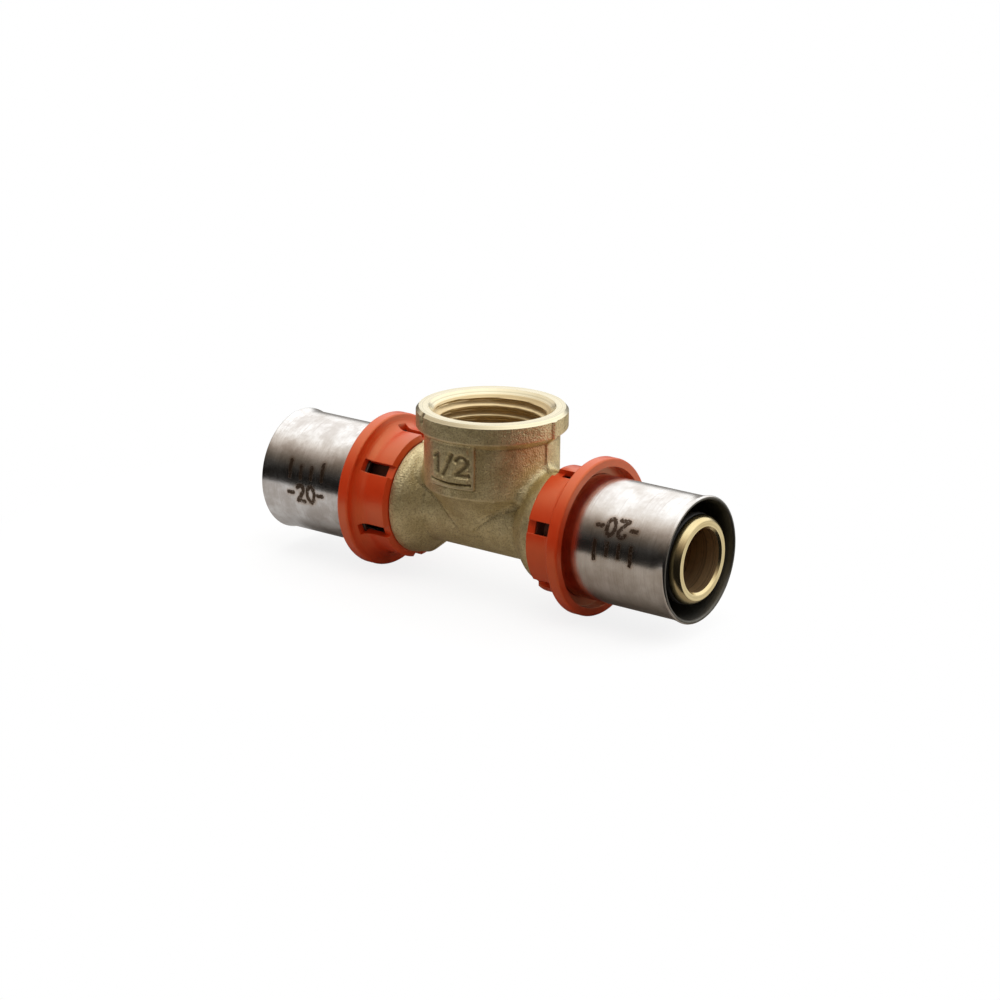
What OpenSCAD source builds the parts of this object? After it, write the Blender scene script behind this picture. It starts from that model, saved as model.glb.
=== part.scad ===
// Crimp tee: a forged brass body for two 20 x 2 mm multilayer pipes on the run and a
// female G 1/2 thread on the branch. The run lies along X and the branch points up
// along Z. The origin is where their axes cross, and lengths along the run start there.

/* [Pipe] */
// Outside diameter of the pipe that is crimped on
pipe_d = 20; // [18:0.5:24]
// Wall thickness of that pipe
pipe_wall = 2; // [1.8:0.1:2.4]
// Play in diameter between the nipple and the pipe's bore
nipple_play = 0.3; // [0.2:0.05:0.5]
// Play in diameter between the pipe and the sleeve's bore
sleeve_play = 0.36; // [0.2:0.02:0.6]

/* [Run] */
// Length over the noses of both nipples
run_l = 89.6; // [84:0.2:110]
// Wall of the nipples round the waterway
nipple_wall = 2.25; // [2.1:0.05:2.6]
// Wall of the barrel between the shoulders
barrel_wall = 1.46; // [1.2:0.02:2]
// Where the shoulder ends and the seat of the ring starts
shoulder_end = 15.2; // [15:0.1:18]
// Slope of the shoulder's flank
shoulder_slope = 39.5; // [35:0.5:50]
// Radius of the curve from the flank to the shoulder's rim
shoulder_round = 3.9; // [1:0.1:5]
// Width of the shoulder's rim beside that curve
shoulder_rim = 0.1; // [0.05:0.05:1]
// How far the shoulder stands over the pipe it meets
shoulder_over = 0.2; // [0.1:0.05:0.3]

/* [Branch] */
// Diameter of the thread over its roots, 20.955 for G 1/2
thread_d = 20.96; // [19:0.1:22]
// Height of the branch's face over the run's axis
branch_h = 19.6; // [18.4:0.1:30]
// Depth of the thread below the face
thread_l = 13.6; // [10:0.1:13.8]
// Wall of the neck outside the thread
neck_wall = 1.58; // [1.4:0.02:1.8]
// Height of the neck's lower edge
neck_low = 5.6; // [5.2:0.1:6]
// Radius of the hollow curve under the neck
skirt_round = 18.6; // [14:0.2:30]
// Wall of the collar outside the thread
collar_wall = 3.02; // [2.4:0.02:3.4]
// Height of the collar with its lower chamfer
collar_h = 4.7; // [4:0.1:6]
// Height of the collar's lower chamfer
collar_under = 1.2; // [0.8:0.1:1.8]
// Chamfer at the collar's top, along the face
face_chamfer = 0.5; // [0.3:0.1:0.8]
// Chamfer at the collar's top, down the side
side_chamfer = 0.6; // [0.3:0.1:0.8]
// Pitch of the thread's turns, 1.814 for G 1/2
thread_pitch = 1.81; // [1.4:0.01:2]
// Depth of the thread's turns
thread_h = 1.16; // [1:0.02:1.2]
// From the face to the first root of the thread
thread_in = 1.7; // [1.4:0.05:1.9]
// Chamfer at the mouth of the thread
lead_chamfer = 0.82; // [0.4:0.02:1.2]
// Step in radius from the waterway to the branch's passage
passage_step = 0.3; // [0.1:0.05:0.8]

/* [Forging] */
// Width of the ridge where the two dies met
parting_w = 1; // [0.6:0.1:1.6]
// How far that ridge stands out
parting_h = 0.3; // [0.1:0.05:0.5]
// Width of the raised pad on the front of the neck
pad_w = 9.5; // [7:0.1:12]
// How far the pad stands out from the neck
pad_h = 0.65; // [0.3:0.05:0.9]
// Height of the pad's lower edge
pad_low = 7.4; // [6.4:0.1:9]

/* [Nipple] */
// Thickness of the O-rings' cord
cord_d = 1.5; // [1.2:0.1:1.6]
// How far an O-ring stands out of its groove
cord_proud = 0.2; // [0.1:0.02:0.22]
// Play of the cord in its groove
cord_play = 0.05; // [0.02:0.01:0.1]
// From the nose to the middle of the outer groove
seal_in = 2.5; // [2.3:0.1:3.2]
// From the outer groove to the inner one
seal_pitch = 8.3; // [7.4:0.1:10]
// Number of barbs between the grooves
barb_n = 3; // [1:1:3]
// Length of one barb
barb_l = 1.4; // [1:0.1:1.6]
// Depth of one barb
barb_h = 0.35; // [0.15:0.05:0.5]
// Length of the rounded nose
nose_l = 1.4; // [1:0.1:1.5]
// How much the nose loses in radius
nose_drop = 0.6; // [0.3:0.05:0.8]
// Chamfer at the mouth of the waterway
mouth_chamfer = 0.3; // [0.1:0.05:0.5]

/* [Sleeve] */
// Wall of the sleeve
sleeve_wall = 0.72; // [0.5:0.02:1]
// How far the sleeve stays back from the nose
sleeve_back = 0.4; // [0:0.1:2]
// Length of the flared mouth
flare_l = 2.6; // [1.5:0.1:4]
// Radius of the flare's curve
flare_round = 8.2; // [6:0.1:14]

/* [Ring] */
// Width of the whole ring along the run
ring_w = 8.8; // [8.6:0.1:11]
// Gap between the shoulder and the ring
ring_gap = 0.15; // [0.1:0.05:0.5]
// Wall of the hub over the pipe's space
hub_wall = 1.15; // [1:0.05:1.6]
// How far the rim stands over the hub
rim_h = 2.7; // [2.65:0.05:3.4]
// Width of the rim's outer face
rim_w = 2.3; // [1.8:0.1:2.5]
// Radius of the hollow between hub and rim
hub_fillet = 2.2; // [1.6:0.1:2.4]
// Radius of the rim's edges
rim_round = 0.4; // [0.1:0.05:0.6]
// Chamfer of the hub's end, along the radius
hub_chamfer = 0.9; // [0.4:0.05:0.95]
// Chamfer of the hub's end, along the run
hub_chamfer_l = 0.5; // [0.3:0.05:0.7]
// Width of the recess round the sleeve
recess_w = 1.55; // [1:0.05:1.9]
// Depth of that recess
recess_l = 2; // [1:0.1:2.4]
// Play in radius between the sleeve and its socket
socket_play = 0.05; // [0.02:0.01:0.1]
// How far the sleeve goes into the ring
socket_l = 3.15; // [2.9:0.05:3.3]

/* [Windows] */
// Number of windows that show the pipe's end
window_n = 6; // [3:1:8]
// Width of a window round the ring
window_w = 2.3; // [1.5:0.1:3]
// Length of a window along the run
window_l = 4.5; // [2.5:0.1:4.7]
// From the end of the ring's lip to the windows
window_in = 0.1; // [0.05:0.05:0.2]
// Thickness of the lip that is left beside a window
lip_h = 0.45; // [0.3:0.05:0.7]
// Turn of the left ring's windows, from straight up toward the front
left_turn = -6; // [-30:0.5:30]
// Turn of the right ring's windows, from straight up toward the front
right_turn = 13.5; // [-30:0.5:30]

/* [Snap seat] */
// Length of the seat that carries the ring's lip
seat_l = 1.8; // [1.7:0.1:2.4]
// How far the seat is set back from the shoulder
seat_drop = 0.25; // [0.15:0.05:0.4]
// Play in radius between the seat and the lip
seat_play = 0.05; // [0.02:0.01:0.1]
// Length of the ring's lip
lip_l = 1.45; // [1.4:0.05:1.6]
// From the ring's face to the snap groove
snap_in = 0.55; // [0.4:0.05:0.6]
// Length of the snap groove
snap_l = 0.8; // [0.5:0.05:0.85]
// Depth of the snap groove
snap_h = 0.6; // [0.3:0.05:0.8]
// Play of the ring's bead in the snap groove
snap_play = 0.1; // [0.05:0.01:0.15]

/* [Hidden] */
$fn = 96;
// How far a cut runs past the surface that it opens
past = 1;
drill_point = 118;
// Where the hollow curve under the neck ends on the barrel, as an angle below the axis
skirt_foot = 20;
// How deep that end lies under the barrel's surface
skirt_sunk = 0.05;

nipple_r = (pipe_d - 2 * pipe_wall - nipple_play) / 2;
water_r = nipple_r - nipple_wall;
barrel_r = water_r + barrel_wall;
shoulder_r = pipe_d / 2 + shoulder_over;
nose_x = run_l / 2;

thread_r = thread_d / 2;
neck_r = thread_r + neck_wall;
collar_r = thread_r + collar_wall;
collar_low = branch_h - collar_h;
thread_low = branch_h - thread_l;
crest_r = thread_r - thread_h;
first_root = branch_h - thread_in;
turn_n = floor((first_root - thread_low) / thread_pitch);
passage_r = water_r - passage_step;
drill_h = (thread_r - passage_r) / tan(drill_point / 2);

seat_r = shoulder_r - seat_drop;
seat_end = shoulder_end + seat_l;
ring_start = shoulder_end + ring_gap;
ring_end = ring_start + ring_w;
lip_in_r = seat_r + seat_play;
lip_end = ring_start + lip_l;
window_start = lip_end + window_in;
snap_start = ring_start + snap_in;
snap_end = snap_start + snap_l;
snap_r = seat_r - snap_h;

sleeve_in_r = (pipe_d + sleeve_play) / 2;
sleeve_r = sleeve_in_r + sleeve_wall;
sleeve_start = ring_end - socket_l;
sleeve_end = nose_x - sleeve_back;
socket_r = sleeve_r + socket_play;

hub_r = sleeve_in_r + hub_wall;
rim_r = hub_r + rim_h;
rim_start = ring_end - rim_w;
fillet = min(hub_fillet, rim_h - rim_round);
fillet_start = rim_start - fillet;

groove_r = nipple_r + cord_proud - cord_d - cord_play;
groove_l = cord_d + 2 * cord_play;
cord_r = nipple_r + cord_proud - cord_d / 2;
outer_seal = nose_x - seal_in;
inner_seal = outer_seal - seal_pitch;
barbs_start = (outer_seal + inner_seal - barb_n * barb_l) / 2;

brass = [0.56, 0.51, 0.34];
steel = [0.78, 0.78, 0.76];
orange = [0.80, 0.27, 0.13];
black = [0.07, 0.07, 0.07];

function polar(r, a) = r * [cos(a), sin(a)];
function arc(centre, r, from, to, steps = 8) =
    [for (i = [0:steps]) centre + polar(r, from + (to - from) * i / steps)];
function heading(v) = atan2(v[1], v[0]);
function backwards(points) = [for (i = [len(points) - 1:-1:0]) points[i]];

// A square groove of length l and floor r in a cylinder of radius top, as profile points
function groove(start, l, r, top) = [[top, start], [r, start], [r, start + l], [top, start + l]];

// Flank and rim of the shoulder as [radius, place along the run], grown by g
function shoulder(g) =
    let (curve_end = shoulder_end - shoulder_rim,
         corner = curve_end - shoulder_round * tan(shoulder_slope / 2),
         foot = corner - (shoulder_r - barrel_r) / tan(shoulder_slope))
    concat([[barrel_r + g, foot]],
           arc([shoulder_r + g - shoulder_round, curve_end], shoulder_round, -shoulder_slope, 0),
           [[shoulder_r + g, shoulder_end]]);

// Seat of the ring and the nipple, out to its nose
function nipple() =
    let (nose_round = (pow(nose_l, 2) + pow(nose_drop, 2)) / (2 * nose_drop))
    concat(groove(snap_start, snap_l, snap_r, seat_r),
           [[seat_r, seat_end], [nipple_r, seat_end]],
           groove(inner_seal - groove_l / 2, groove_l, groove_r, nipple_r),
           [for (i = [0:barb_n - 1]) each [[nipple_r, barbs_start + i * barb_l],
                                           [nipple_r - barb_h, barbs_start + (i + 1) * barb_l]]],
           [[nipple_r, barbs_start + barb_n * barb_l]],
           groove(outer_seal - groove_l / 2, groove_l, groove_r, nipple_r),
           arc([nipple_r - nose_round, nose_x - nose_l], nose_round, 0, asin(nose_l / nose_round)));

// Side of the branch as [radius, height], from the skirt's foot to the top chamfer, grown by g
function branch(g) =
    let (foot = polar(barrel_r, -skirt_foot) - [skirt_sunk, 0],
         edge = [neck_r, neck_low],
         chord = edge - foot,
         aside = [chord[1], -chord[0]] / norm(chord),
         centre = (edge + foot) / 2 + aside * sqrt(pow(skirt_round, 2) - pow(norm(chord) / 2, 2)))
    concat(arc(centre, skirt_round - g, heading(foot - centre), heading(edge - centre)),
           [[neck_r + g, collar_low], [collar_r + g, collar_low + collar_under],
            [collar_r + g, branch_h - side_chamfer]]);

// Turns a profile drawn as [radius, place along the run] about the run's axis
module turned() rotate([0, 90, 0]) rotate_extrude() children();

// The same piece at both ends of the run, or at the left one alone
module to_left() mirror([1, 0, 0]) children();

module run_outside() {
    half = concat(shoulder(0), [[seat_r, shoulder_end]], nipple());
    turned() polygon(concat([[0, -nose_x]], [for (p = backwards(half)) [p[0], -p[1]]], half, [[0, nose_x]]));
}

module branch_outside() {
    side = branch(0);
    rotate_extrude() polygon(concat([[0, side[0][1]]], side, [[collar_r - face_chamfer, branch_h], [0, branch_h]]));
}

// Ridge of the forging in the plane of both axes, down to those axes
module parting_ridge() {
    run_side = [for (p = shoulder(parting_h)) [p[1], p[0]]];
    side = branch(parting_h);
    rotate([90, 0, 0]) linear_extrude(parting_w, center = true)
        for (i = [0, 1]) mirror([i, 0]) {
            polygon(concat([[0, side[0][1]]], side, [[0, branch_h - side_chamfer]]));
            for (j = [0, 1]) mirror([0, j])
                polygon(concat([[0, 0], [0, barrel_r + parting_h]], run_side, [[shoulder_end, 0]]));
        }
}

// Raised pad on the front of the neck, curved with it
module front_pad() intersection() {
    cylinder(h = collar_low + collar_under, r = neck_r + pad_h);
    translate([-pad_w / 2, -collar_r, pad_low]) cube([pad_w, collar_r, collar_low + collar_under - pad_low]);
}

module waterway() {
    rotate([0, 90, 0]) cylinder(h = run_l + 2 * past, r = water_r, center = true);
    for (i = [0, 1]) mirror([i, 0, 0]) translate([nose_x - mouth_chamfer, 0, 0]) rotate([0, 90, 0])
        cylinder(h = mouth_chamfer + past, r1 = water_r, r2 = water_r + mouth_chamfer + past);
}

// Turns of the thread as rings, from the first one's root down to the relief, as profile points
function turns() = [for (i = [0:turn_n - 1])
    let (top = first_root - i * thread_pitch)
    each [[thread_r, top], [thread_r, top - thread_pitch / 6],
          [crest_r, top - thread_pitch / 2], [crest_r, top - thread_pitch * 2 / 3]]];

// Passage, drill cone and threaded bore, whose chamfer takes the top off the first turn
module branch_bore() {
    rise = thread_pitch / 3 / thread_h;
    chamfer_in = (thread_in - lead_chamfer) / (1 + rise);
    rotate_extrude() polygon(concat(
        [[0, branch_h + past], [thread_r + lead_chamfer + past, branch_h + past],
         [thread_r - chamfer_in, first_root + chamfer_in * rise]],
        turns(),
        [[thread_r, first_root - turn_n * thread_pitch], [thread_r, thread_low],
         [passage_r, thread_low - drill_h], [passage_r, 0], [0, 0]]));
}

module tee_body() color(brass) difference() {
    union() {
        run_outside();
        branch_outside();
        parting_ridge();
        front_pad();
    }
    waterway();
    branch_bore();
}

// Steel sleeve of the right end, straight from its socket to a flared mouth with a round edge
module sleeve() {
    edge = sleeve_wall / 2;
    centre = [sleeve_r + flare_round, sleeve_end - flare_l];
    lean = asin((flare_l - edge) / (flare_round + edge));
    mouth = centre + polar(flare_round + edge, 180 - lean);
    color(steel) turned()
        polygon(concat([[sleeve_in_r, sleeve_start], [sleeve_r, sleeve_start]],
                       arc(centre, flare_round, 180, 180 - lean),
                       arc(mouth, edge, -lean, 180 - lean),
                       arc(centre, flare_round + sleeve_wall, 180 - lean, 180)));
}

// One window: a hole over the pipe's end, and a notch over the lip beside it
module window() {
    notch_r = lip_in_r + lip_h;
    translate([window_start, -window_w / 2, 0]) cube([window_l, window_w, rim_r]);
    translate([ring_start - past, -window_w / 2, notch_r])
        cube([window_start - ring_start + past, window_w, rim_r - notch_r]);
}

// Plastic ring of the right end, with its windows turned toward the front
module ring(toward_front) color(orange) difference() {
    turned() polygon(concat(
        [[lip_in_r, ring_start], [hub_r - hub_chamfer, ring_start], [hub_r, ring_start + hub_chamfer_l]],
        arc([hub_r + fillet, fillet_start], fillet, 180, 90),
        arc([rim_r - rim_round, rim_start + rim_round], rim_round, -90, 0),
        arc([rim_r - rim_round, ring_end - rim_round], rim_round, 0, 90),
        [[socket_r + recess_w, ring_end], [socket_r + recess_w, ring_end - recess_l],
         [socket_r, ring_end - recess_l], [socket_r, sleeve_start], [sleeve_in_r, sleeve_start],
         [sleeve_in_r, lip_end], [lip_in_r, lip_end],
         [lip_in_r, snap_end - snap_play], [snap_r + snap_play, snap_end - snap_play],
         [snap_r + snap_play, snap_start + snap_play], [lip_in_r, snap_start + snap_play]]));
    for (i = [0:window_n - 1]) rotate([toward_front + i * 360 / window_n, 0, 0]) window();
}

module o_ring(x) color(black) translate([x, 0, 0]) turned() translate([cord_r, 0]) circle(cord_d / 2);

tee_body();
to_left() sleeve();  // left_sleeve
sleeve();  // right_sleeve
to_left() ring(left_turn);  // left_ring
ring(right_turn);  // right_ring
to_left() o_ring(inner_seal);  // left_inner_o_ring
to_left() o_ring(outer_seal);  // left_outer_o_ring
o_ring(inner_seal);  // right_inner_o_ring
o_ring(outer_seal);  // right_outer_o_ring
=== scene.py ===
import math

import bpy
import numpy as np
from mathutils import Matrix, Vector


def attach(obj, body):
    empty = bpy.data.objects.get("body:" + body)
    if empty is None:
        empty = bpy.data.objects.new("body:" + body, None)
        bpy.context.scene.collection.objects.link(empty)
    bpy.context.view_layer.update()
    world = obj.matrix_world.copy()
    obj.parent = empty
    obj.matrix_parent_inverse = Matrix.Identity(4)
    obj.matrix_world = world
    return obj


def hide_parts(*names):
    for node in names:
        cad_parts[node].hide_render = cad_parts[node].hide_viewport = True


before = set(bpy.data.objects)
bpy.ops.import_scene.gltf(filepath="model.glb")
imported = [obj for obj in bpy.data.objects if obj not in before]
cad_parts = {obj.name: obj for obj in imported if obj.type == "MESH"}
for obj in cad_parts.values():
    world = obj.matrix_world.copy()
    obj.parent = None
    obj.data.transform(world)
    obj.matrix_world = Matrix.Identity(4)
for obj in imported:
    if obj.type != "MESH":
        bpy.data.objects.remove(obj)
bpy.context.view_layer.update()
print("frame loaded:", ", ".join(sorted(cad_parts)))

mm = 0.001
scene = bpy.context.scene


# shader helpers

def rgb(red, green, blue):
    return (red, green, blue, 1.0)


class Socket:
    # wraps one node output, so that shader maths reads as plain expressions
    def __init__(self, paint, out):
        self.paint, self.out = paint, out

    def maths(self, operation, *values):
        return self.paint.node("ShaderNodeMath", {"operation": operation}, values)

    def __add__(self, other):
        return self.maths("ADD", self, other)

    def __radd__(self, other):
        return self.maths("ADD", other, self)

    def __sub__(self, other):
        return self.maths("SUBTRACT", self, other)

    def __rsub__(self, other):
        return self.maths("SUBTRACT", other, self)

    def __mul__(self, other):
        return self.maths("MULTIPLY", self, other)

    def __rmul__(self, other):
        return self.maths("MULTIPLY", other, self)

    def __truediv__(self, other):
        return self.maths("DIVIDE", self, other)


class Paint:
    # a material's or the world's node tree, started empty
    def __init__(self, owner):
        owner.use_nodes = True
        self.tree = owner.node_tree
        self.tree.nodes.clear()
        self.end = "ShaderNodeOutput" + ("World" if isinstance(owner, bpy.types.World) else "Material")

    # adds a node: its settings first, then values or links for its sockets; gives one output
    def node(self, kind, settings=None, inputs=None, output=0):
        made = self.tree.nodes.new(kind)
        for name, value in (settings or {}).items():
            if name == "stops":
                ramp = made.color_ramp.elements
                while len(ramp) < len(value):
                    ramp.new(1)
                for stop, (place, colour) in zip(ramp, value):
                    stop.position = place
                    stop.color = rgb(*colour)
            else:
                setattr(made, name, value)
        pairs = inputs.items() if isinstance(inputs, dict) else enumerate(inputs or ())
        for name, value in pairs:
            if isinstance(value, Socket):
                self.tree.links.new(value.out, made.inputs[name])
            else:
                made.inputs[name].default_value = value
        return Socket(self, made.outputs[output]) if len(made.outputs) else None

    # where a point lies on its own object, in metres
    def spot(self):
        return self.node("ShaderNodeTexCoord", output="Object")

    # how far a point lies along one axis, such as X
    def part(self, place, axis):
        return self.node("ShaderNodeSeparateXYZ", inputs=[place], output=axis)

    # a value that a piece carries at its points
    def carried(self, name):
        return self.node("ShaderNodeAttribute", {"attribute_name": name}, output="Fac")

    # 1 for one kind of ray, such as those from the camera
    def rays(self, kind):
        return self.node("ShaderNodeLightPath", output="Is " + kind + " Ray")

    def vectorMaths(self, operation, *values, output="Value"):
        return self.node("ShaderNodeVectorMath", {"operation": operation}, values, output)

    # 0 to 1 between two values, with soft ends
    def step(self, value, low, high):
        return self.node("ShaderNodeMapRange", {"interpolation_type": "SMOOTHSTEP"},
                         {"Value": value, "From Min": low, "From Max": high})

    def noise(self, place, scale, detail=2.0, roughness=0.5):
        return self.node("ShaderNodeTexNoise", inputs={"Vector": place, "Scale": scale, "Detail": detail,
                                                       "Roughness": roughness})

    # a Mix node's colours are its inputs 6 and 7 and its output 2
    def mix(self, factor, first, second):
        return self.node("ShaderNodeMix", {"data_type": "RGBA", "clamp_factor": True},
                         {0: factor, 6: first, 7: second}, output=2)

    # a colour laid over another where a value goes from low to high, up to a share of it
    def layer(self, under, value, low, high, share, colour):
        return self.mix(self.step(value, low, high) * share, under, rgb(*colour))

    # a bump from a height, over the one given as Normal if there is one
    def bump(self, height, strength, distance, **under):
        inputs = {"Strength": strength, "Distance": distance, "Height": height, **under}
        return self.node("ShaderNodeBump", inputs=inputs)

    def finish(self, shader):
        self.node(self.end, inputs=[shader])

    # ends a material in one principled surface
    def surface(self, values):
        self.finish(self.node("ShaderNodeBsdfPrincipled", inputs=values))


def newMaterial(name):
    material = bpy.data.materials.new(name)
    return material, Paint(material)


# surfaces on a grid

# points of an arc, angles in degrees from the first axis
def arc(centre, radius, start, end, steps):
    turn = np.radians(np.linspace(start, end, steps + 1))
    return [(centre[0] + radius * math.cos(t), centre[1] + radius * math.sin(t)) for t in turn]


# points round X: the radius turned from the front upwards, at each place along X
def roundX(along, radius, turn):
    return np.stack([along + 0 * turn, -radius * np.cos(turn), radius * np.sin(turn)], -1)


# points round Z: the radius turned from +X, at each height
def roundZ(height, radius, turn):
    return np.stack([radius * np.cos(turn), radius * np.sin(turn), height + 0 * turn], -1)


# the two numbers of each pair as columns, to be turned round an axis
def columns(pairs):
    first, second = np.array(pairs, dtype=float).T
    return first[:, None], second[:, None]


# distance of points from a piece of line that starts at (a, b) and goes on by (run, rise)
def pieceDistance(along, across, a, b, run, rise, least=0.0):
    share = np.clip(((along - a) * run + (across - b) * rise) / max(run * run + rise * rise, least), 0, 1)
    return np.hypot(along - a - share * run, across - b - share * rise)


# distance from (along, across) to an open line of points, negative where across is less than the line's own
def lineDistance(along, across, line):
    line = np.array(line)
    nearest = np.full(along.shape, np.inf)
    for (a, b), (c, d) in zip(line[:-1], line[1:]):
        nearest = np.minimum(nearest, pieceDistance(along, across, a, b, c - a, d - b, 1e-12))
    under = across < np.interp(along, line[:, 0], line[:, 1])
    inside = under & (along > line[0, 0]) & (along < line[-1, 0])
    return np.where(inside, -nearest, nearest)


# distance from the nearest stroke, each stroke being a line of points
def strokeDistance(across, height, paths):
    nearest = np.full(across.shape, np.inf)
    for path in paths:
        for (a, b), (c, d) in zip(path[:-1], path[1:]):
            nearest = np.minimum(nearest, pieceDistance(across, height, a, b, c - a, d - b))
    return nearest


# two distances joined with a hollow of radius r between them
def weld(a, b, r):
    return np.maximum(r, np.minimum(a, b)) - np.hypot(np.maximum(r - a, 0), np.maximum(r - b, 0))


# what two distances share, with an edge rounded to radius r
def share(a, b, r):
    return np.minimum(-r, np.maximum(a, b)) + np.hypot(np.maximum(r + a, 0), np.maximum(r + b, 0))


# places between low and high, closer together around the centre
def finerWhere(low, high, count, centre, width, gain):
    dense = np.linspace(low, high, 4000)
    weight = 1 + gain * np.exp(-((dense - centre) / width) ** 4)
    total = np.concatenate([[0], np.cumsum((weight[1:] + weight[:-1]) / 2)])
    return np.interp(np.linspace(0, total[-1], count), total, dense)


# closed surface from rows of points (rows, columns, 3) in millimetres; rows and columns both run round to the
# first, and the faces are turned so that the volume they hold counts as positive
def gridSurface(name, rows, bands, finishes):
    rowCount, columnCount = rows.shape[:2]
    row, column = np.meshgrid(np.arange(rowCount), np.arange(columnCount), indexing="ij")
    nextRow, nextColumn = (row + 1) % rowCount, (column + 1) % columnCount
    faces = np.stack([row * columnCount + column, row * columnCount + nextColumn,
                      nextRow * columnCount + nextColumn, nextRow * columnCount + column], -1).reshape(-1, 4)
    a, b, c, d = (rows.reshape(-1, 3)[faces[:, i]] for i in range(4))
    sixVolumes = np.sum(a * np.cross(b, c)) + np.sum(a * np.cross(c, d))
    if sixVolumes < 0:
        faces = faces[:, ::-1]
    mesh = bpy.data.meshes.new(name)
    mesh.vertices.add(rowCount * columnCount)
    mesh.vertices.foreach_set("co", (rows * mm).astype(np.float32).ravel())
    mesh.loops.add(faces.size)
    mesh.loops.foreach_set("vertex_index", faces.astype(np.int32).ravel())
    mesh.polygons.add(len(faces))
    mesh.polygons.foreach_set("loop_start", np.arange(0, faces.size, 4, dtype=np.int32))
    mesh.polygons.foreach_set("material_index", np.repeat(np.asarray(bands, dtype=np.int32), columnCount))
    mesh.update(calc_edges=True)
    mesh.validate()
    mesh.shade_smooth()
    for finish in finishes:
        mesh.materials.append(finish)
    piece = bpy.data.objects.new(name, mesh)
    scene.collection.objects.link(piece)
    return piece


# one number for each point of a piece, for its finish to read
def giveValues(piece, name, values):
    attribute = piece.data.attributes.new(name, "FLOAT", "POINT")
    attribute.data.foreach_set("value", values.astype(np.float32).ravel())


# light

# light of the studio against how far a direction leans up and back, from the lowest lean to 1; a dim band
# lies round the horizon, and a pale card low behind the right-hand end
studio = {"peak": 1.35, "up": 0.82, "back": 0.57, "lowest": -0.3, "horizon": 0.25, "band": (0.08, 0.27),
          "card": (0.569, 0.766, -0.300), "cardEdge": (0.80, 0.97), "cardColour": (0.62, 0.60, 0.56),
          "stops": [(0.05, (0.030, 0.028, 0.026)), (0.23, (0.105, 0.086, 0.068)), (0.40, (0.30, 0.25, 0.21)),
                    (0.56, (0.66, 0.61, 0.56)), (0.70, (0.92, 0.91, 0.89)), (0.81, (1.0, 1.0, 1.0))]}
scene.view_settings.view_transform = "Standard"
scene.world = bpy.data.worlds.new("studio")
world = Paint(scene.world)
direction = world.node("ShaderNodeTexCoord", output="Generated")


def facing(way):
    return world.vectorMaths("DOT_PRODUCT", direction, way)


lean = (facing((0, studio["back"], studio["up"])) - studio["lowest"]) / (1 - studio["lowest"])
lit = world.node("ShaderNodeValToRGB", {"stops": studio["stops"]}, [lean])
card = world.step(facing(studio["card"]), *studio["cardEdge"])
clear = studio["horizon"] + (1 - studio["horizon"]) * world.step(facing((0, 0, 1)), *studio["band"])
seen = world.rays("Camera") + world.rays("Transmission")
strength = (clear + (1 - clear) * card) * studio["peak"]
world.finish(world.node("ShaderNodeBackground", inputs={
    "Color": world.mix(seen, world.mix(card, lit, rgb(*studio["cardColour"])), rgb(1, 1, 1)),
    "Strength": strength + seen * (1 - strength)}))

# lamps that metal doesn't mirror, turned to the middle: place and size in metres, and power
lamps = {"overhead": ((0.05, -0.16, 0.55), (0.5, 0.35), 1.2),
         "frontFill": ((0.10, -0.60, 0.18), (0.5, 0.3), 0.55)}
for name, (place, size, power) in lamps.items():
    lamp = bpy.data.lights.new(name, "AREA")
    lamp.shape, lamp.size, lamp.size_y, lamp.energy = "RECTANGLE", size[0], size[1], power
    holder = bpy.data.objects.new(name, lamp)
    holder.visible_glossy = False
    holder.location = place
    holder.rotation_euler = (-Vector(place)).to_track_quat("-Z", "Y").to_euler()
    scene.collection.objects.link(holder)


# camera, with angles in degrees and lengths in millimetres

camera = {"azimuth": 36.571, "elevation": 17.437, "roll": 0.501, "distance": 546.15, "aside": 1.489,
          "up": 2.045, "lens": 110.47, "sensor": 36, "clip": (20, 10000)}
azimuth, elevation, roll = (math.radians(camera[name]) for name in ("azimuth", "elevation", "roll"))
flat = math.cos(elevation)
back = Vector((math.sin(azimuth) * flat, -math.cos(azimuth) * flat, math.sin(elevation)))
right = Vector((math.cos(azimuth), math.sin(azimuth), 0))
up = back.cross(right)
turnedRight = right * math.cos(roll) + up * math.sin(roll)
turnedUp = up * math.cos(roll) - right * math.sin(roll)
lens = bpy.data.cameras.new("camera")
lens.lens, lens.sensor_width = camera["lens"], camera["sensor"]
lens.clip_start, lens.clip_end = (length * mm for length in camera["clip"])
viewer = bpy.data.objects.new("camera", lens)
viewer.matrix_world = Matrix((turnedRight, turnedUp, back)).transposed().to_4x4()
place = right * camera["aside"] + up * camera["up"] + back * camera["distance"]
viewer.matrix_world.translation = place * mm
scene.collection.objects.link(viewer)
scene.camera = viewer


# floor

# a disc that is white to the camera but for the object's shadow, and greyer in what it casts back, darker
# still to glossy rays as painted shade; its colour is painted lighter toward the card and at the left-hand
# end, as painted light, each from one distance to another
floor = {"level": -14.03, "radius": 76, "middle": -25, "corners": 96, "fadeFrom": 60, "share": 0.84,
         "seenColour": 0.95, "bounce": 0.52, "glossyBounce": 0.32, "warmth": (1.0, 0.89, 0.77),
         "cardBounce": 0.5, "cardWay": (0.6, 0.8, 0), "cardFrom": (35, 55),
         "leftBounce": 0.16, "leftFrom": (-15, -45), "leftWarmth": (0.98, 0.96, 0.95)}


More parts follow.
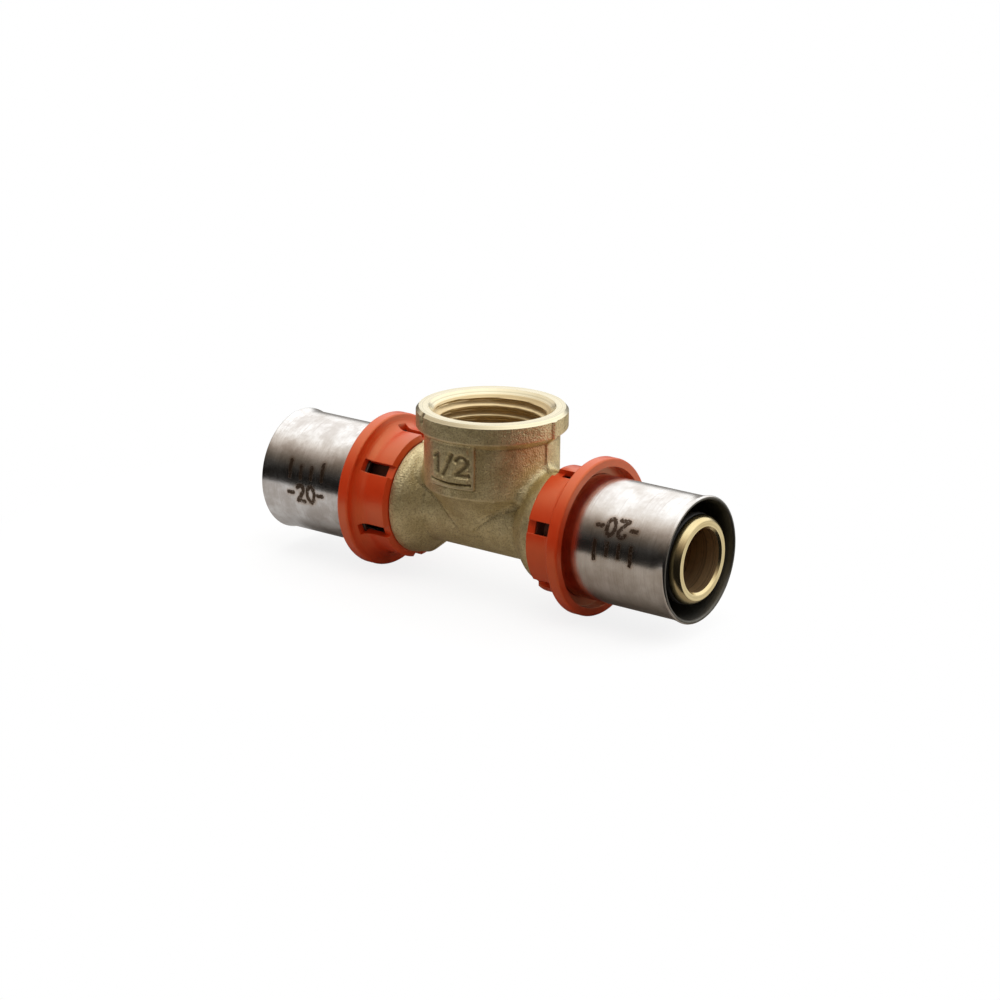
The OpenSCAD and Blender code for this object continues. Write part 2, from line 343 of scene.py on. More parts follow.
def makeFloor():
    turn = np.linspace(0, 2 * np.pi, floor["corners"], endpoint=False)
    corners = roundZ(floor["level"], floor["radius"], turn) + np.array([floor["middle"], 0, 0])
    mesh = bpy.data.meshes.new("floor")
    mesh.from_pydata((corners * mm).tolist(), [], [list(range(len(corners)))])
    piece = bpy.data.objects.new("floor", mesh)
    scene.collection.objects.link(piece)
    material, paint = newMaterial("palePaper")
    mesh.materials.append(material)
    spot = paint.spot()
    away = paint.vectorMaths("DISTANCE", spot, (floor["middle"] * mm, 0, floor["level"] * mm))
    fade = paint.step(away, floor["fadeFrom"] * mm, floor["radius"] * mm)
    behindRight = paint.step(paint.vectorMaths("DOT_PRODUCT", spot, floor["cardWay"]),
                             *(place * mm for place in floor["cardFrom"]))
    leftEnd = paint.step(paint.part(spot, "X"), *(place * mm for place in floor["leftFrom"]))
    seen, glossy = paint.rays("Camera"), paint.rays("Glossy")
    bounce = floor["bounce"] + (floor["glossyBounce"] - floor["bounce"]) * glossy \
        + floor["cardBounce"] * behindRight + floor["leftBounce"] * leftEnd
    warmth = paint.mix(leftEnd, rgb(*floor["warmth"]), rgb(*floor["leftWarmth"]))
    colour = paint.mix(seen, paint.mix(bounce, rgb(0, 0, 0), warmth), rgb(*[floor["seenColour"]] * 3))
    paper = paint.node("ShaderNodeBsdfDiffuse", inputs={"Color": colour})
    white = paint.node("ShaderNodeEmission", inputs={"Color": rgb(1, 1, 1), "Strength": 1.0})
    shine = seen * (floor["share"] + (1 - floor["share"]) * fade)
    paint.finish(paint.node("ShaderNodeMixShader", inputs=[shine, paper, white]))
    return piece


floorPiece = makeFloor()
print("studio and camera set")


# finishes: tones from dark to light, and layers as (low, high, share, colour) over a value; scales are per
# metre and depths in metres

# blasted forging: coarse grain all over, lighter on edges from wear and a painted highlight, and darker and
# browner in hollows and creases as painted shade
blasted = {"grain": 3200, "patches": 330, "dark": (0.70, 0.59, 0.32), "light": (0.90, 0.79, 0.48),
           "darkSpecks": (0.44, 0.68, 0.5, (0.40, 0.31, 0.15)),
           "lightSpecks": (0.40, 0.28, 0.4, (0.96, 0.87, 0.60)),
           # dull: painted shade, darker and browner in hollows and creases
           "dull": (0.15, 0.8, 0.8, (0.15, 0.11, 0.052)),
           "wornHighlight": (0.35, 1.2), "wornHighlightShare": 0.7, "wornHighlightColour": (0.92, 0.80, 0.54),
           "metallic": 0.93, "roughness": 0.36, "grainDepth": 0.00017, "waveDepth": 0.0006}


def forgedBrass():
    material, paint = newMaterial("blastedBrass")
    spot, edge = paint.spot(), paint.carried("edge")
    grain = paint.noise(spot, blasted["grain"], 2.0, 0.65)
    patches = paint.noise(spot, blasted["patches"], 4.0, 0.6)
    # edges made lighter: partly wear, partly a painted highlight
    wornHighlight = paint.step(edge + (grain - 0.5) * 0.6, *blasted["wornHighlight"])
    colour = paint.mix(paint.step(patches, 0.3, 0.7), rgb(*blasted["dark"]), rgb(*blasted["light"]))
    colour = paint.layer(colour, grain, *blasted["darkSpecks"])
    colour = paint.layer(colour, grain, *blasted["lightSpecks"])
    # hollows and creases darkened and browned: painted shade
    colour = paint.layer(colour, (grain - 0.5) * 0.4 - edge, *blasted["dull"])
    colour = paint.mix(wornHighlight * blasted["wornHighlightShare"], colour, rgb(*blasted["wornHighlightColour"]))
    rough = paint.bump(grain, 1.0, blasted["grainDepth"])
    paint.surface({"Base Color": colour, "Metallic": blasted["metallic"],
                   "Roughness": blasted["roughness"] + patches * 0.12 - wornHighlight * 0.08,
                   "Normal": paint.bump(patches, 0.5, blasted["waveDepth"], Normal=rough)})
    return material


# cut brass, from bright on the faces to brown and dull down the bores: the tool's lines are noise over the
# distance from the axis and the place along it
cutLines = {"lines": 4200, "patches": 300, "from": 0.42, "to": 0.66, "darker": 0.4, "depth": 0.00005}


def cutBrass(name, axis, light, dark, roughness, metallic=1.0, contrast=0.25, lineBump=0.15):
    material, paint = newMaterial(name)
    spot = paint.spot()
    crossways = (0, 1, 1) if axis == "X" else (1, 1, 0)
    aside = paint.vectorMaths("LENGTH", paint.vectorMaths("MULTIPLY", spot, crossways, output="Vector"))
    aside, along = aside * cutLines["lines"], paint.part(spot, axis) * cutLines["lines"]
    lines = paint.noise(paint.node("ShaderNodeCombineXYZ", inputs=[aside, along, 0.5]), 1.0)
    colour = paint.mix(paint.noise(spot, cutLines["patches"], 3.0), rgb(*dark), rgb(*light))
    colour = paint.layer(colour, lines, cutLines["from"], cutLines["to"], contrast,
                         [tone * cutLines["darker"] for tone in dark])
    paint.surface({"Base Color": colour, "Metallic": metallic, "Roughness": roughness + lines * 0.12,
                   "Normal": paint.bump(lines, lineBump, cutLines["depth"])})
    return material


# drawn steel: fine lines round the tube, cloudy tone, brown etched marks with a burnt edge, painted shade
# inside the tube and where it runs in under the ring, and tarnished patches on the left-hand sleeve
drawn = {"lines": (6000, 120, 120), "clouds": 200, "specks": 2600,
         "dark": (0.62, 0.58, 0.54), "light": (0.87, 0.86, 0.85),
         "streaks": (0.48, 0.78, 0.45, (0.44, 0.39, 0.35)),
         "older": (0.02, -0.02), "tarnish": (0.62, 0.35), "tarnishShare": 0.4,
         "tarnishColour": (0.50, 0.46, 0.43),
         "burnt": (-2.5, 0.4, 0.35, (0.38, 0.23, 0.12)),
         "etched": (0.1, 0.9), "etchedShare": 0.93, "etchedColour": (0.070, 0.038, 0.018),
         "shadeInsideShare": 0.85, "shadeInsideColour": (0.060, 0.058, 0.042), "roughness": 0.16, "lineDepth": 0.00005}


def sleeveSteel():
    material, paint = newMaterial("drawnSteel")
    spot, mark, within = paint.spot(), paint.carried("mark"), paint.carried("within")
    lines = paint.noise(paint.vectorMaths("MULTIPLY", spot, drawn["lines"], output="Vector"), 1.0, 3.0)
    clouds = paint.noise(spot, drawn["clouds"], 4.0, 0.65)
    specks = paint.noise(spot, drawn["specks"], 3.0, 0.65)
    tarnish = paint.step(paint.part(spot, "X"), *drawn["older"]) * paint.step(clouds, *drawn["tarnish"])
    etched = paint.step(mark + (specks - 0.5) * 3.0, *drawn["etched"])
    colour = paint.mix(paint.step(clouds, 0.3, 0.7), rgb(*drawn["dark"]), rgb(*drawn["light"]))
    colour = paint.layer(colour, lines, *drawn["streaks"])
    colour = paint.mix(tarnish * drawn["tarnishShare"], colour, rgb(*drawn["tarnishColour"]))
    colour = paint.layer(colour, mark + (specks - 0.5) * 1.5, *drawn["burnt"])
    colour = paint.mix(etched * drawn["etchedShare"], colour, rgb(*drawn["etchedColour"]))
    # painted shade: dark inside the tube and next to the ring
    colour = paint.mix(within * drawn["shadeInsideShare"], colour, rgb(*drawn["shadeInsideColour"]))
    paint.surface({"Base Color": colour, "Metallic": 1.0,
                   "Roughness": drawn["roughness"] + clouds * 0.08 + etched * 0.3 + within * 0.3,
                   "Normal": paint.bump(lines, 0.2, drawn["lineDepth"])})
    return material


# moulded plastic: even orange-red with a warm sheen and softened edges
moulded = {"skin": 700, "dark": (0.56, 0.032, 0.005), "light": (0.64, 0.044, 0.008), "edge": 0.00022,
           "depth": 0.0001, "roughness": 0.27, "sheen": (1.0, 0.86, 0.42), "refraction": 1.62}


def ringPlastic():
    material, paint = newMaterial("orangePlastic")
    skin = paint.noise(paint.spot(), moulded["skin"], 3.0, 0.55)
    rounded = paint.node("ShaderNodeBevel", {"samples": 4}, {"Radius": moulded["edge"]})
    paint.surface({"Base Color": paint.mix(skin, rgb(*moulded["dark"]), rgb(*moulded["light"])),
                   "Roughness": moulded["roughness"] + skin * 0.1,
                   "Normal": paint.bump(skin, 0.10, moulded["depth"], Normal=rounded),
                   "IOR": moulded["refraction"], "Specular IOR Level": 1.0,
                   "Specular Tint": rgb(*moulded["sheen"])})
    return material


# black rubber with a little dust
rubber = {"dust": 1500, "dark": (0.012, 0.012, 0.012), "light": (0.025, 0.024, 0.023), "roughness": 0.45}


def sealRubber():
    material, paint = newMaterial("blackRubber")
    dust = paint.noise(paint.spot(), rubber["dust"])
    paint.surface({"Base Color": paint.mix(dust, rgb(*rubber["dark"]), rgb(*rubber["light"])),
                   "Roughness": rubber["roughness"] + dust * 0.15})
    return material


# o_ring stands before ring, because a seal's name ends in both
finishes = {"tee_body": forgedBrass(), "sleeve": sleeveSteel(), "o_ring": sealRubber(), "ring": ringPlastic()}
# the finishes of the body's two pieces, in the order of their bands of faces: forged skin, nose or face,
# seats or thread, and bores
forgedBand, cutBand, seatBand, boreBand = range(4)
threadBand = seatBand
runFinishes = [
    finishes["tee_body"],
    cutBrass("noseBrass", "X", light=(0.84, 0.72, 0.43), dark=(0.68, 0.54, 0.27), roughness=0.17),
    # seats under the rings' windows painted dark red-brown and less metallic: painted shade
    cutBrass("shadedSeatBrass", "X", light=(0.26, 0.10, 0.060), dark=(0.16, 0.055, 0.034), roughness=0.40,
             metallic=0.3),
    cutBrass("boreBrass", "X", light=(0.66, 0.46, 0.25), dark=(0.48, 0.31, 0.15), roughness=0.26,
             metallic=0.7, contrast=0.55, lineBump=0.5)]
branchFinishes = [
    finishes["tee_body"],
    cutBrass("faceBrass", "Z", light=(0.88, 0.81, 0.60), dark=(0.78, 0.69, 0.46), roughness=0.17),
    cutBrass("threadBrass", "Z", light=(0.84, 0.68, 0.40), dark=(0.70, 0.54, 0.29), roughness=0.30,
             metallic=0.85, contrast=0.35),
    cutBrass("drilledBrass", "Z", light=(0.66, 0.46, 0.25), dark=(0.48, 0.31, 0.15), roughness=0.30,
             metallic=0.7, contrast=0.6, lineBump=0.4)]
for name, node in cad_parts.items():
    finish = next(material for key, material in finishes.items() if name == key or name.endswith("_" + key))
    for slot in node.material_slots:
        slot.material = finish
print("finishes given to the packed nodes")


# forged body, in millimetres and degrees

body = {"barrel": 7.06, "shoulder": 10.2, "shoulderEnd": 15.2, "slope": 39.5, "curve": 3.9, "rim": 0.1,
        "footRound": 1.6, "neck": 12.06, "neckLow": 5.6, "collar": 13.5, "collarLow": 14.9,
        "collarUnder": 1.2, "top": 19.6, "skirtCentre": (24.148, -8.537), "skirtRound": 18.6,
        "skirtTurn": (160.8, 130.5),
        "faceChamfer": 0.5, "sideChamfer": 0.6, "softEdge": 0.42, "skirtSoft": 1.6, "sharp": 32,
        "ridgeWidth": 1.0, "ridge": 0.3, "ridgeRound": 0.2, "padWidth": 9.5, "padLow": 7.4, "pad": 0.65,
        "padRound": 0.3, "weld": 0.25}
# the hollow where run and branch meet: its radius low down and higher up, and the heights where it changes
joint = {"crease": 0.6, "fillet": 2.1, "from": 2, "over": 4}
# bores and thread; a cutter is wider than its bore by its clearance
inside = {"water": 5.6, "passage": 5.3, "root": 10.48, "crest": 9.32, "pitch": 1.814, "phase": 0.5573,
          "threadLow": 6.0, "threadEnd": 0.2, "rootBack": 0.02, "runOut": (0.4, 0.9), "lead": 0.82,
          "drill": 3.11, "nose": 44.8, "mouth": 0.4, "boreClear": 0.02, "waterClear": 0.01, "cutHigh": 15,
          "cutFar": 40}
# the snap groove is given by its two ends and its floor, the seals by their middles
seat = {"radius": 9.95, "end": 17.0, "snap": (15.9, 16.7, 9.35), "nipple": 7.85, "groove": 6.5,
        "grooveWidth": 1.6, "seals": (34.0, 42.3), "barbs": 36.05, "barbCount": 3, "barbLength": 1.4,
        "barbDepth": 0.35, "noseLength": 1.65, "noseDrop": 0.9}
farAway = 9.0   # a distance that welds with nothing


# profile corner replaced by an arc of radius r that touches both its sides
def softCorner(before, corner, after, r, steps=5):
    before, corner, after = (np.array(p, dtype=float) for p in (before, corner, after))
    inward = (before - corner) / np.linalg.norm(before - corner)
    outward = (after - corner) / np.linalg.norm(after - corner)
    half = math.acos(np.clip(inward @ outward, -1, 1)) / 2
    centre = corner + (inward + outward) / np.linalg.norm(inward + outward) * r / math.sin(half)
    first, last = corner + inward * r / math.tan(half), corner + outward * r / math.tan(half)
    turns = np.linspace(0, 1, steps + 1)[:, None]
    chord = (1 - turns) * first + turns * last - centre
    return [tuple(centre + r * c / np.linalg.norm(c)) for c in chord]


# side of the run as (place, radius) from the middle outwards: barrel, sloped flank, curve
slope = math.radians(body["slope"])
curveEnd = body["shoulderEnd"] - body["rim"]
flankFoot = curveEnd - body["curve"] * math.tan(slope / 2) \
    - (body["shoulder"] - body["barrel"]) / math.tan(slope)
flankTop = arc((curveEnd, body["shoulder"] - body["curve"]), body["curve"], 90 + body["slope"], 90, 8)
runSide = [(-1, body["barrel"])] \
    + softCorner((0, body["barrel"]), (flankFoot, body["barrel"]), flankTop[0], body["footRound"]) \
    + flankTop + [(body["shoulderEnd"] + 1, body["shoulder"])]

# side of the branch as (height, radius) upwards: skirt's hollow curve, neck, collar
skirt = [(z, r) for r, z in arc(body["skirtCentre"], body["skirtRound"], *body["skirtTurn"], 12)]
skirtFoot = skirt[0][0]
neckEdge, neckTop = (body["neckLow"], body["neck"]), (body["collarLow"], body["neck"])
collarEdge = (body["collarLow"] + body["collarUnder"], body["collar"])
branchSide = [(skirtFoot, 0)] + skirt[:-1] \
    + softCorner(skirt[-2], neckEdge, neckTop, body["softEdge"] * body["skirtSoft"]) \
    + softCorner(neckEdge, neckTop, collarEdge, body["softEdge"]) \
    + softCorner(neckTop, collarEdge, (body["top"], body["collar"]), body["softEdge"]) \
    + [(body["top"] + 1, body["collar"])]

# pressed into the pad as (strokes, width, depth), with (across, height) points: a plain 1/2 over a thin line
padStrokes = [([[(-3.2, 12.7), (-2.3, 13.4), (-2.3, 10.1)], [(-1.1, 9.8), (0.7, 13.6)],
                arc((2.5, 12.4), 1.0, 165, -35, 7) + [(1.5, 10.1), (3.6, 10.1)]], 0.62, 0.42),
              ([[(-4.0, 8.55), (0, 8.3), (4.0, 8.45)]], 0.36, 0.32)]
strokePower = 0.7   # below 1 for a stroke with a fuller floor
# flaws of the forging as (strokes, width, height): on the run along X and round it, on the branch round it
# and up Z, and a nick in the collar
runFlaws = [([[(2.1, -1.7), (7.6, 2.6)]], 0.75, 0.2), ([[(7.9, -1.0), (8.0, -0.9)]], 0.35, 0.1),
            ([[(9.0, 2.1), (9.1, 2.2)]], 0.35, 0.1), ([[(-9.5, -2.0), (-7.5, -3.2)]], 0.9, -0.12)]
branchFlaws = [([[(-4.2, 5.9), (-2.6, 5.6)], [(-1.9, 5.8), (-1.0, 5.6)], [(0.2, 5.6), (0.5, 5.75)]],
                0.32, 0.13),
               ([[(7.9, 5.2), (8.1, 5.3)]], 0.35, 0.1)]
nick = ([[(-6.25, 18.0), (-6.15, 18.7)]], 0.4, -0.45)


# height of the flaws at points of an unrolled side: each is a bell curve over the distance from its strokes
def flawHeight(along, across, flaws):
    return sum(height * np.exp(-(strokeDistance(along, across, strokes) / width) ** 2)
               for strokes, width, height in flaws)


# distances of points from the run, from the branch and from both welded together, and the weld's radius
def forging(x, y, z):
    aside, away = np.hypot(y, z), np.hypot(x, y)
    ridge = np.abs(y) - body["ridgeWidth"] / 2
    run = lineDistance(np.abs(x), aside, runSide)
    run = weld(run, share(run - body["ridge"], ridge, body["ridgeRound"]), body["weld"])
    branch = lineDistance(z, away, branchSide)
    branch = weld(branch, share(branch - body["ridge"], ridge, body["ridgeRound"]), body["weld"])
    across = np.arctan2(x, -y) * body["neck"]
    pad = share(away - body["neck"] - body["pad"], np.abs(across) - body["padWidth"] / 2, body["padRound"])
    pad = share(pad, body["padLow"] - z, body["padRound"])
    branch = weld(branch, np.where(y < 0, pad, farAway), body["weld"])
    pressed = sum(depth * np.clip(1 - strokeDistance(across, z, strokes) / width, 0, 1) ** strokePower
                  for strokes, width, depth in padStrokes)
    branch = branch + np.where(y < 0, pressed, 0) - flawHeight(across, z, branchFlaws + [nick])
    run = run - flawHeight(x, np.arctan2(z, -y) * body["barrel"], runFlaws)
    rise = np.clip((z - joint["from"]) / joint["over"], 0, 1)
    r = joint["crease"] + (joint["fillet"] - joint["crease"]) * rise
    return run, branch, weld(run, branch, r), r


# the walk below: its tries, the distance that counts as nought, how far it goes past the line where the other
# form is nearer and from where it sinks, as shares of the weld's radius, and how deep it sinks
walk = {"tries": 60, "nought": 0.0005, "past": 0.35, "sinkFrom": 0.15, "sink": 0.02, "steeper": 0.4,
        "most": 0.5}


# walks outwards from an axis until the welded distance is nought; past the line where the other
# form is nearer the point is left a little under the surface
def settle(around, along, radius, turn, own):
    radius = radius.copy()
    way = 1 if own == "run" else -1
    left = np.ones(radius.shape, bool)
    for _ in range(walk["tries"]):
        run, branch, both, r = forging(*around(along[left], radius[left], turn[left]).T)
        moving = (both < -walk["nought"]) & (way * (run - branch) < walk["past"] * r)
        radius[left] -= np.where(moving, both, 0)
        keep = left.copy()
        keep[left] = moving
        left = keep
        if not left.any():
            break
    run, branch, both, r = forging(*np.moveaxis(around(along, radius, turn), -1, 0))
    lead, start = way * (run - branch), walk["sinkFrom"] * r
    shallow = walk["sink"] * np.clip(lead / start, 0, 1)
    return radius - (shallow + walk["steeper"] * np.clip(lead - start, 0, walk["most"]))


# the run: radius at each place along X and each angle round X, then the turned seats, noses and the waterway
runGrid = {"round": 288, "along": 181, "startUnder": 0.05, "nose": 8, "seatRows": 8}


def buildRun():
    turn = np.linspace(0, 2 * np.pi, runGrid["round"], endpoint=False)
    along = np.linspace(-body["shoulderEnd"], body["shoulderEnd"], runGrid["along"])
    x, t = np.meshgrid(along, turn, indexing="ij")
    start = np.interp(np.abs(x), *np.array(runSide).T) - runGrid["startUnder"]
    forged = roundX(x, settle(roundX, x, start, t, "run"), t)
    outward = np.array(endSide())
    seats = [roundX(way * outward[::way, :1], outward[::way, 1:], turn) for way in (1, -1)]
    rows = np.concatenate([forged, *seats])
    bands = np.full(len(rows), cutBand)
    bands[:len(forged)] = forgedBand
    bands[len(forged):len(forged) + runGrid["seatRows"]] = seatBand
    bands[-runGrid["seatRows"]:] = seatBand
    bands[len(forged) + len(outward) - 1] = boreBand   # the waterway
    return gridSurface("runBody", rows, bands, runFinishes)


# side of the seat and nipple as (place, radius), from the shoulder outwards and into the waterway's mouth
def endSide():
    nipple, first, last = seat["nipple"], *seat["snap"][:2]
    inner, outer = (square(middle, seat["grooveWidth"], nipple, seat["groove"]) for middle in seat["seals"])
    barbEnds = [seat["barbs"] + i * seat["barbLength"] for i in range(seat["barbCount"] + 1)]
    barbs = [p for low, high in zip(barbEnds[:-1], barbEnds[1:])
             for p in ((low, nipple), (high, nipple - seat["barbDepth"]))]
    noseRound = (seat["noseLength"] ** 2 + seat["noseDrop"] ** 2) / (2 * seat["noseDrop"])
    noseTurn = math.degrees(math.asin(seat["noseLength"] / noseRound))
    noseCentre = (nipple - noseRound, inside["nose"] - seat["noseLength"])
    nose = [(z, r) for r, z in arc(noseCentre, noseRound, 0, noseTurn, runGrid["nose"])]
    snap = square((first + last) / 2, last - first, seat["radius"], seat["snap"][2])
    return [(body["shoulderEnd"], seat["radius"])] + snap \
        + [(seat["end"], seat["radius"]), (seat["end"], nipple)] + inner + barbs + [(barbEnds[-1], nipple)] \
        + outer + nose + [(inside["nose"], inside["water"] + inside["mouth"]),
                          (inside["nose"] - inside["mouth"], inside["water"])]


# a square groove as (place, radius) points
def square(middle, width, top, deep):
    low, high = middle - width / 2, middle + width / 2
    return [(low, top), (low, deep), (high, deep), (high, top)]


# the branch: radius at each height and each angle round Z, then the face, the thread and the drilled passage;
# finer round the front and where the pad, its strokes and the collar's edge lie, as (low, high, rows)
branchGrid = {"round": 341, "front": (-np.pi / 2, 0.45, 1.0), "startUnder": 0.6, "rows": 84, "thread": 104,
              "padEdge": (-0.5, 0.5, 7), "strokes": (7.9, 14.2, 42), "collarEdge": (-0.3, 1.6, 15)}


def buildBranch():
    turn = finerWhere(-np.pi, np.pi, branchGrid["round"], *branchGrid["front"])[:-1]
    padLow, padHigh, padRows = branchGrid["padEdge"]
    edgeLow, edgeHigh, edgeRows = branchGrid["collarEdge"]
    height = np.unique(np.concatenate([
        np.linspace(skirtFoot, body["top"] - body["sideChamfer"], branchGrid["rows"]),
        np.linspace(body["padLow"] + padLow, body["padLow"] + padHigh, padRows),
        np.linspace(*branchGrid["strokes"]),
        np.linspace(body["collarLow"] + edgeLow, body["collarLow"] + edgeHigh, edgeRows)]).round(4))
    z, t = np.meshgrid(height, turn, indexing="ij")
    start = np.interp(z, *np.array(branchSide).T) - branchGrid["startUnder"]
    outer = roundZ(z, settle(roundZ, z, start, t, "branch"), t)
    top = body["top"] - inside["lead"]
    low = np.linspace(top, inside["threadLow"] + inside["threadEnd"], branchGrid["thread"])
    z, t = np.meshgrid(low, turn, indexing="ij")
    thread = roundZ(z, threadRadius(z, t, top), t)
    faceHeight, faceRadius = columns([(body["top"], body["collar"] - body["faceChamfer"]),
                                      (body["top"], inside["root"] + inside["lead"])])
    drilledHeight, drilledRadius = columns([(inside["threadLow"], inside["root"]),
                                            (inside["threadLow"] - inside["drill"], inside["passage"]),
                                            (skirtFoot, inside["passage"])])
    face, drilled = roundZ(faceHeight, faceRadius, turn), roundZ(drilledHeight, drilledRadius, turn)
    rows = np.concatenate([outer, face, thread, drilled])
    bands = np.full(len(rows), boreBand)
    bands[:len(outer) - 1] = forgedBand
    bands[len(outer) - 1:len(outer) + len(face)] = cutBand
    bands[len(outer) + len(face):len(outer) + len(face) + len(thread)] = threadBand
    return gridSurface("branchBody", rows[:, ::-1], bands, branchFinishes)


# the thread's turn: how steep its flanks are, where they stop being straight, and how round it is past that
threadTurn = {"steep": 1.5, "straight": 0.7, "round": 0.469}


# radius of the thread: a rounded triangle wave of the height and the turn, that fades into the relief below
# and is cut back by the chamfer at the mouth
def threadRadius(z, turn, top):
    phase = (z / inside["pitch"] - turn / (2 * np.pi) + inside["phase"]) % 1
    wave = threadTurn["steep"] * (4 * np.abs(phase - 0.5) - 1)
    rounded = 1 - (threadTurn["steep"] - np.abs(wave)) ** 2 * threadTurn["round"]
    wave = np.where(np.abs(wave) < threadTurn["straight"], wave, np.sign(wave) * rounded)
    root, crest = inside["root"], inside["crest"]
    starts, over = inside["runOut"]
    fade = np.clip((z - inside["threadLow"] - starts) / over, 0, 1)
    radius = root - inside["rootBack"] - (root - (root + crest) / 2 - (root - crest) / 2 * wave) * fade
    return np.maximum(radius, root - inside["rootBack"] - (top - z))


def cutOut(piece, tool):
    change = piece.modifiers.new("cut", "BOOLEAN")
    change.operation, change.object, change.solver = "DIFFERENCE", tool, "MANIFOLD"
    whole = bpy.data.meshes.new_from_object(piece.evaluated_get(bpy.context.evaluated_depsgraph_get()))
    piece.modifiers.clear()
    old, piece.data = piece.data, whole
    bpy.data.meshes.remove(old)
    bpy.data.objects.remove(tool)


cutterGrid = {"round": 160, "tip": 0.001}


# closed turned cutter from (place, radius) pairs along X or Z: the radius turned round the axis, and a tip at
# each end
def cutter(name, side, axis, materials):
    turn = np.linspace(0, 2 * np.pi, cutterGrid["round"], endpoint=False)
    side = [(side[0][0], cutterGrid["tip"])] + side + [(side[-1][0], cutterGrid["tip"])]
    rows = roundZ(*columns(side), turn)
    rows = rows[..., ::-1] if axis == "X" else rows[:, ::-1]
    return gridSurface(name, rows[::-1, ::-1], [boreBand] * len(side), materials)


# edges and hollows, for the brass's lighter edges and darker hollows: how far the points compared lie off,
# how near the forged skin a point has to be, the deepest hollow, and how wide, how far under the neck and how
# dark the dirt and painted shade in a stroke is
edgesAndHollows = {"reach": 0.3, "near": 0.1, "hollow": -0.45, "dirtAndShadeWidth": 1.3, "dirtAndShadeUnder": 0.2, "dirtAndShade": 0.7}


# how far each point of the forged skin lies on an edge (above 0) or in a hollow (below 0): the mean of the
# welded distance at six points round it, less its own; dirt and painted shade fill the pad's strokes and the
# nick
def edgeShape(piece):
    points = np.empty(len(piece.data.vertices) * 3)
    piece.data.vertices.foreach_get("co", points)
    x, y, z = (points.reshape(-1, 3) / mm).T
    own = forging(x, y, z)[2]
    total = -6 * own
    for dx, dy, dz in np.vstack([np.eye(3), -np.eye(3)]) * edgesAndHollows["reach"]:
        total += forging(x + dx, y + dy, z + dz)[2]
    edge = np.where(np.abs(own) < edgesAndHollows["near"], np.clip(total / edgesAndHollows["reach"] ** 2 / 2, edgesAndHollows["hollow"], 1), 0)
    across = np.arctan2(x, -y) * body["neck"]
    dirtAndShade = np.zeros(x.shape)
    for strokes, width, _ in padStrokes + [nick]:
        reached = edgesAndHollows["dirtAndShadeWidth"] - strokeDistance(across, z, strokes) / width * edgesAndHollows["dirtAndShadeWidth"]
        dirtAndShade = np.maximum(dirtAndShade, np.clip(reached, 0, 1))
    dirtAndShade = np.where((y < 0) & (np.hypot(x, y) > body["neck"] - edgesAndHollows["dirtAndShadeUnder"]), dirtAndShade, 0)
    # the strokes pull the value down, so the finish darkens them: dirt and painted shade
    return edge * (1 - dirtAndShade) - edgesAndHollows["dirtAndShade"] * dirtAndShade


runPiece, branchPiece = buildRun(), buildBranch()
print("body surfaces made")
drillTop = inside["threadLow"] - inside["drill"]
passageCut, rootCut = (inside[bore] + inside["boreClear"] for bore in ("passage", "root"))
waterCut = inside["water"] + inside["waterClear"]
boreSide = [(0, passageCut), (drillTop, passageCut),
            (inside["threadLow"], rootCut), (inside["cutHigh"], rootCut)]
waterSide = [(-inside["cutFar"], waterCut), (inside["cutFar"], waterCut)]
cutOut(runPiece, cutter("boreCut", boreSide, "Z", runFinishes))
cutOut(branchPiece, cutter("waterCut", waterSide, "X", branchFinishes))
for piece in (runPiece, branchPiece):
    piece.data.set_sharp_from_angle(angle=math.radians(body["sharp"]))
    giveValues(piece, "edge", edgeShape(piece))
    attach(piece, "root")
    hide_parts("tee_body")
    print(piece.name, len(piece.data.polygons), "faces")


# press sleeves, in millimetres and degrees

# marks: place along X, height round the sleeve, tilt, and 1 or -1 for the way up
sleeve = {"inner": 10.18, "outer": 10.9, "start": 21.0, "startChamfer": 0.1,
          "flareStart": 41.8, "flareRound": 8.2, "lean": 15.17, "edge": 0.36,
          "marks": {"left_sleeve": (-34.2, 1.5, 3.5, 1), "right_sleeve": (33.4, 4.0, 1.0, -1)},
          "strokeWidth": 0.4, "strokeEdge": 0.1, "softness": 0.2, "outsideMark": -4, "shade": 21.7,
          "sharp": 40}
# finer round the marks, by a width and a gain round the sleeve and along it; then the steps of the mouth and
# the places of the rows inside
sleeveGrid = {"round": 221, "markRound": (0.45, 2.2), "along": 90, "markAlong": (4.9, 2.0), "flare": 10,
              "lip": 8, "inside": (36.0, 30.0, 24.0)}
# marks as (along, up) points: a plain 20 between two dashes, and four bars over it
markStrokes = [
    [(-4.0, -2.2), (-2.9, -2.2)],
    arc((-1.2, -1.45), 0.75, 165, -35, 6) + [(-2.0, -3.7), (-0.4, -3.7)],
    [(1.2 + 0.8 * math.cos(a), -2.2 + 1.5 * math.sin(a)) for a in np.linspace(0, 2 * math.pi, 13)],
    [(2.9, -2.2), (4.0, -2.2)],
    [(-3.7, 0.7), (-3.7, 3.7)],
    [(-1.2, 0.7), (-1.2, 2.7)],
    [(1.2, 0.7), (1.2, 2.7)],
    [(3.7, 0.7), (3.7, 3.7)]]


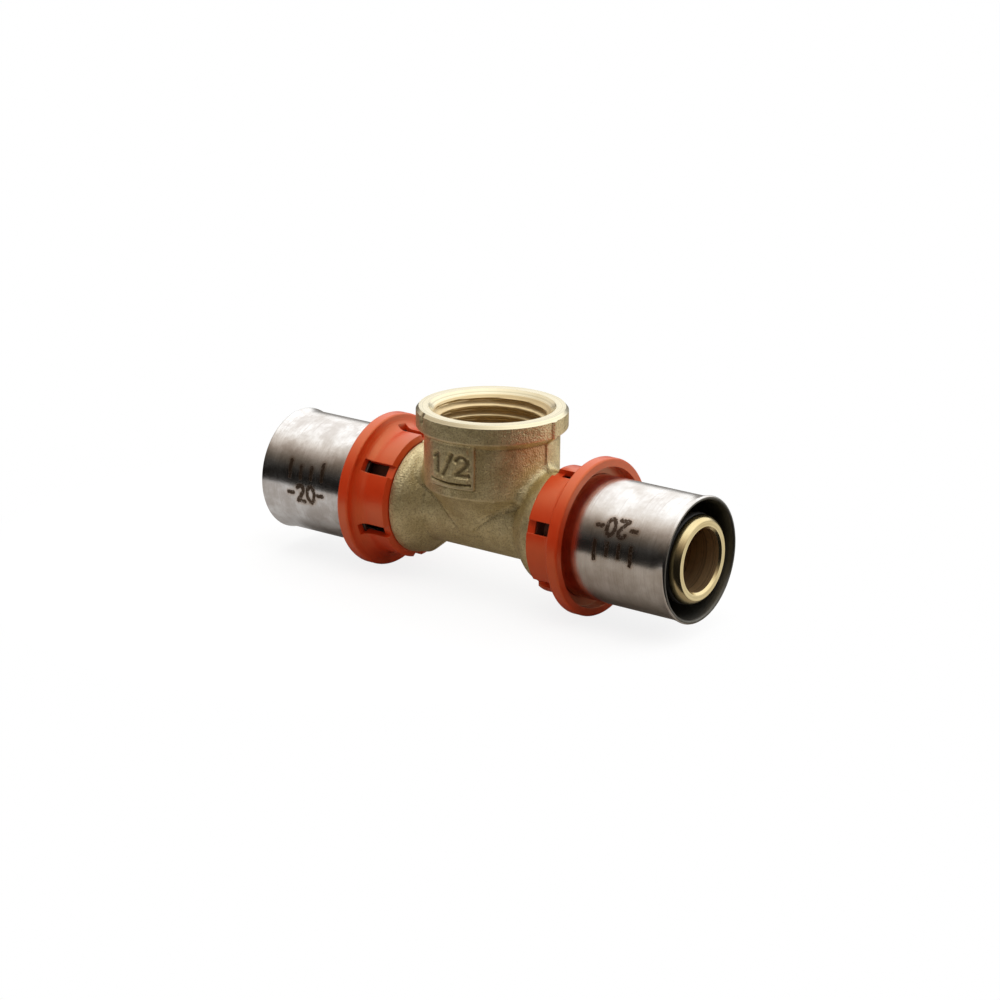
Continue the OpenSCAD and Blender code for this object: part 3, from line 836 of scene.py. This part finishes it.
# a sleeve: its wall's section carried round X, with the marks as a value of its points
def buildSleeve(node):
    middle, height, tilt, way = sleeve["marks"][node]
    inner, outer, degrees = sleeve["inner"], sleeve["outer"], sleeve["lean"]
    lean = math.radians(degrees)
    turn = finerWhere(-np.pi, np.pi, sleeveGrid["round"], height / outer, *sleeveGrid["markRound"])[:-1]
    flareCentre = (sleeve["flareStart"], outer + sleeve["flareRound"])
    reach = sleeve["flareRound"] + sleeve["edge"]
    mouth = (flareCentre[0] + reach * math.sin(lean), flareCentre[1] - reach * math.cos(lean))
    first, chamfer = sleeve["start"], sleeve["startChamfer"]
    straight = finerWhere(first + chamfer, sleeve["flareStart"], sleeveGrid["along"],
                          abs(middle), *sleeveGrid["markAlong"])
    section = [(first, inner + chamfer), (first, outer - chamfer)] \
        + [(x, outer) for x in straight] \
        + arc(flareCentre, sleeve["flareRound"], -90, -90 + degrees, sleeveGrid["flare"])[1:] \
        + arc(mouth, sleeve["edge"], 90 + degrees, -90 + degrees, sleeveGrid["lip"])[1:-1] \
        + arc(flareCentre, sleeve["flareRound"] + outer - inner, -90 + degrees, -90, sleeveGrid["flare"]) \
        + [(x, inner) for x in (*sleeveGrid["inside"], first + chamfer)]
    x, r = columns(section)
    x = np.sign(middle) * x
    piece = gridSurface(node + "Drawn", roundX(x, r, turn), [0] * len(section), [finishes["sleeve"]])
    along, up = x - middle, turn * outer - height
    slant = math.radians(tilt)
    along, up = (way * (along * math.cos(slant) + up * math.sin(slant)),
                 way * (up * math.cos(slant) - along * math.sin(slant)))
    widest = sleeve["strokeWidth"] + sleeve["strokeEdge"]
    etched = (widest - strokeDistance(along, up, markStrokes)) / sleeve["softness"]
    etched = np.clip(etched, sleeve["outsideMark"], 1)
    row = np.arange(len(section))[:, None]
    lipRow = 2 + len(straight) + sleeveGrid["flare"]
    giveValues(piece, "mark", np.where((row > 0) & (row <= lipRow), etched, sleeve["outsideMark"]))
    # painted shade inside the tube and on the stretch next to and under the ring
    hidden = (row > lipRow + 2) | (np.abs(x) < sleeve["shade"])
    giveValues(piece, "within", hidden * np.ones(len(turn)))
    piece.data.set_sharp_from_angle(angle=math.radians(sleeve["sharp"]))
    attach(piece, "root")
    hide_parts(node)
    print(piece.name, len(piece.data.polygons), "faces")


for node in sleeve["marks"]:
    buildSleeve(node)
